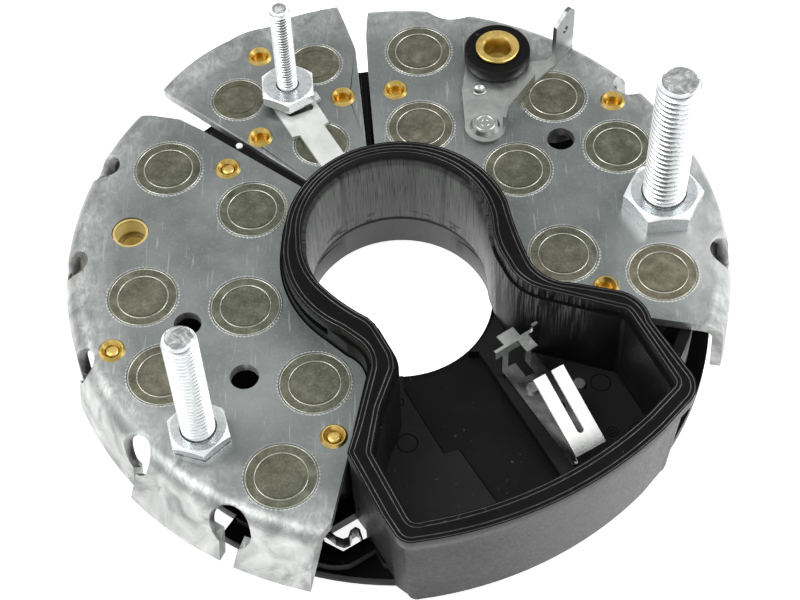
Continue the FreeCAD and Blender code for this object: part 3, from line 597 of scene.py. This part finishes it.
MARK_HALF = 0.11
MARK_SUNK = 0.02
MARK_RISE = 0.07
MARKS = [circle(36.2, -22.5, 1.8), circle(37.4, -33.0, 1.0), circle(37.4, -33.0, 0.45),
         circle(0.5, -33.8, 1.85), circle(-0.6, -25.1, 0.75),
         [(40.2, -33.2), (40.6, -32.2), (41.5, -31.4), (42.3, -31.2)],
         [(23.5, -15.0), (38.5, -19.2), (43.5, -29.5)],
         [(0.2, -22.3), (7.0, -36.2), (9.7, -35.4), (16.5, -47.6)]]
marks, mark_faces = [], []
for line in MARKS:
    ribbon(marks, mark_faces, line, MARK_HALF, FLOOR_TOP - MARK_SUNK, FLOOR_TOP + MARK_RISE)
add_mesh("floor_mark_shade", marks, mark_faces, "moulded_groove_shade")

revolve("terminal_rivet", "tin_sheet", [(TERMINAL_RIVET_POS, RIVET_SECTION, 40)])
revolve("terminal_crown", "tin_sheet", [(TERMINAL_CROWN_POS, CROWN_OUTER, 48),
                                        (TERMINAL_CROWN_POS, CROWN_INNER, 40)])


# Rings of each diode: the lip of its groove and its rolled edge, made bright with a paler nickel as a painted
# highlight

LIP_HALF = 0.14
LIP_SUNK = 0.05
LIP_STEPS = 96


def lip_rings(name, places, lips):
    """Raised rings on the diode faces; lips holds (radius, rise) pairs."""
    verts, faces = [], []
    for place in places:
        for radius, rise in lips:
            section = [(-LIP_HALF, -LIP_SUNK), (-LIP_HALF * 0.5, rise), (LIP_HALF * 0.5, rise),
                       (LIP_HALF, -LIP_SUNK)]
            start = len(verts)
            for i in range(LIP_STEPS):
                a = 2 * math.pi * i / LIP_STEPS
                verts += [spot(place, radius + dr, a, FACE_Z + dz) for dr, dz in section]
            for i in range(LIP_STEPS):
                here, after = start + i * 4, start + (i + 1) % LIP_STEPS * 4
                for k in range(3):
                    faces.append((here + k, here + k + 1, after + k + 1, after + k))
    add_mesh(name, verts, faces, "nickel_edge_highlight")


EDGE_IN = 0.21
LIP_OUT = 0.24
lip_rings("lip_rings_big", LEFT_DIODES + RIGHT_DIODES,
          [(BIG_R - EDGE_IN, 0.07), (BIG_R * GROOVE_RATIO + LIP_OUT, 0.06)])
lip_rings("lip_rings_small", EXCITER_DIODES, [(SMALL_R - EDGE_IN, 0.07)])


# Fine beads along the carrier's rim, set off from its own edges, in a brighter metallic copy of the moulding:
# painted highlights on the rim's edges

def rim_loops(node, height):
    """Outlines, in millimetres, of the level faces of a node at one height."""
    bm = bmesh.new()
    bm.from_mesh(nodes[node].data)
    bm.transform(nodes[node].matrix_world)
    bmesh.ops.remove_doubles(bm, verts=bm.verts, dist=0.000005)
    top = [f for f in bm.faces
           if f.normal.z > 0.95 and abs(f.calc_center_median().z - height * MM) < 0.0002]
    level = set(top)
    link = {}
    for f in top:
        for corner in f.loops:
            if len([g for g in corner.edge.link_faces if g in level]) == 1:
                link.setdefault(corner.vert.index, []).append(corner.link_loop_next.vert.index)
    spots = [v.co.copy() / MM for v in bm.verts]
    bm.free()
    loops = []
    while link:
        first = next(iter(link))
        path, at = [first], link[first].pop()
        if not link[first]:
            del link[first]
        while at != first and at in link:
            path.append(at)
            nxt = link[at].pop()
            if not link[at]:
                del link[at]
            at = nxt
        if len(path) > 20:
            loops.append([spots[i] for i in path])
    return sorted(loops, key=len, reverse=True)


def even(path, step):
    """Points at even steps along a closed path."""
    pts, out, left = path + [path[0]], [], 0.0
    for a, b in zip(pts[:-1], pts[1:]):
        d = (b - a).length
        while left < d:
            out.append(a.lerp(b, left / d))
            left += step
        left -= d
    return out


BEAD_STEP = 0.8
BEAD_SUNK = 0.04


def bead(name, path, inset, half, rise):
    """A low bead on the rim's top, set in from the outline by inset."""
    pts = even(path, BEAD_STEP)
    n = len(pts)
    verts, faces = [], []
    for i, p in enumerate(pts):
        t = pts[(i + 2) % n] - pts[i - 2]
        side = Vector((-t.y, t.x, 0.0)).normalized()
        for du, dz in ((-half, -BEAD_SUNK), (-half * 0.45, rise), (half * 0.45, rise), (half, -BEAD_SUNK)):
            q = p + side * (inset + du)
            verts.append((q.x, q.y, RIM_TOP + dz))
    for i in range(n):
        j = (i + 1) % n
        for k in range(3):
            faces.append((i * 4 + k, j * 4 + k, j * 4 + k + 1, i * 4 + k + 1))
    add_mesh(name, verts, faces, "moulded_edge_highlight")


for number, outline in enumerate(rim_loops("terminal_carrier", RIM_TOP)):
    bead("rim_bead_%d" % number, outline, 1.0, 0.14, 0.07)
    bead("rim_edge_%d" % number, outline, 0.28, 0.12, 0.04)


# Rounded edges on the parts that keep their CAD solid

def soften(name, width, angle, segments=2):
    ob = nodes[name]
    weld = ob.modifiers.new("weld", "WELD")
    weld.merge_threshold = 0.00001
    bev = ob.modifiers.new("bevel", "BEVEL")
    bev.width = width * MM
    bev.segments = segments
    bev.limit_method = "ANGLE"
    bev.angle_limit = math.radians(angle)
    bev.harden_normals = False
    bev.use_clamp_overlap = True


soften("terminal_carrier", 0.35, 50.0)
for name in ("collar_m8", "nut_m6", "nut_m4"):
    soften(name, 0.25, 25.0)
for name in ("insulating_bush", "bush_sleeve"):
    soften(name, 0.3, 50.0)
for name in ("left_plate", "middle_plate", "right_plate"):
    soften(name, 0.18, 60.0, 1)


# Floor, world, lamps and camera

floor_mesh = bpy.data.meshes.new("floor")
floor_mesh.from_pydata([(-3, -3, 0), (3, -3, 0), (3, 3, 0), (-3, 3, 0)], [], [(0, 1, 2, 3)])
floor = bpy.data.objects.new("floor", floor_mesh)
floor.location = (0, 0, -0.0003)
bpy.context.scene.collection.objects.link(floor)


def seen(tree):
    """1 for the rays that show the white backdrop: camera, glossy and transmission rays."""
    rays = add_node(tree, "LightPath").outputs
    mirrored = add_node(tree, "Math", {0: rays["Is Glossy Ray"], 1: rays["Is Transmission Ray"]},
                        operation="MAXIMUM")
    return add_node(tree, "Math", {0: rays["Is Camera Ray"], 1: mirrored.outputs[0]},
                    operation="MAXIMUM").outputs[0]


white = Net("floor_white")
white.set(Base_Color=(0.80, 0.80, 0.80), Roughness=0.9, Specular_IOR_Level=0.1)
white.set(Emission_Color=(1.0, 1.0, 1.0), Emission_Strength=white.times(seen(white.tree), FLOOR_GLOW))
floor_mesh.materials.append(white.mat)

scene = bpy.context.scene
scene.view_settings.view_transform = "Standard"
world = bpy.data.worlds.new("studio")
scene.world = world
world.use_nodes = True
sky = world.node_tree
sky.nodes.clear()

# the object is lit by a soft room, paler above and dimmer at the front
way = add_node(sky, "SeparateXYZ", {0: add_node(sky, "TexCoord").outputs["Generated"]}).outputs
above = add_node(sky, "MapRange", {0: way[2], 1: -0.1, 2: 0.9, 3: 0.42, 4: 0.60})
behind = add_node(sky, "MapRange", {0: way[1], 1: -0.9, 2: 0.6, 3: 0.55, 4: 1.0})
soft = add_node(sky, "Math", {0: above.outputs[0], 1: behind.outputs[0]}, operation="MULTIPLY")
level = add_node(sky, "Mix", {0: seen(sky), 2: soft.outputs[0], 3: 1.0}, data_type="FLOAT")
back = add_node(sky, "Background", {0: (1, 1, 1, 1), 1: level.outputs[0]})
sky.links.new(back.outputs[0], add_node(sky, "OutputWorld").inputs[0])


def lamp(name, place, aim, width, height, power):
    data = bpy.data.lights.new(name, "AREA")
    data.shape = "RECTANGLE"
    data.size = width
    data.size_y = height
    data.energy = power
    ob = bpy.data.objects.new(name, data)
    bpy.context.scene.collection.objects.link(ob)
    ob.location = place
    ob.rotation_euler = (Vector(aim) - Vector(place)).to_track_quat("-Z", "Y").to_euler()


lamp("key", (-0.34, 0.02, 0.62), (0, 0, 0.02), 0.34, 0.34, 2.9)
lamp("front_band", (0.10, -0.62, 0.10), (0, -0.03, 0.015), 0.70, 0.16, 0.6)
lamp("left_band", (-0.60, -0.10, 0.12), (0, 0, 0.02), 0.50, 0.16, 0.15)
lamp("right_key", (0.40, 0.06, 0.55), (0.02, 0, 0.02), 0.30, 0.30, 2.3)
lamp("right_band", (0.60, 0.05, 0.16), (0, 0, 0.02), 0.40, 0.20, 0.8)

cam_data = bpy.data.cameras.new("camera")
cam_data.sensor_width = 36.0
cam_data.lens = 83.577
cam_data.shift_x = -0.0125
cam_data.shift_y = 0.05
cam_data.clip_start = 0.01
cam = bpy.data.objects.new("camera", cam_data)
scene.collection.objects.link(cam)
CAMERA_PLACE = (0.001663, -0.202786, 0.295831)
right = Vector((0.99933, -0.03056, -0.02031))
up = Vector((0.03669, 0.83227, 0.55311))
turn = Matrix((right, up, right.cross(up))).transposed().to_4x4()
cam.matrix_world = Matrix.Translation(CAMERA_PLACE) @ turn
scene.camera = cam
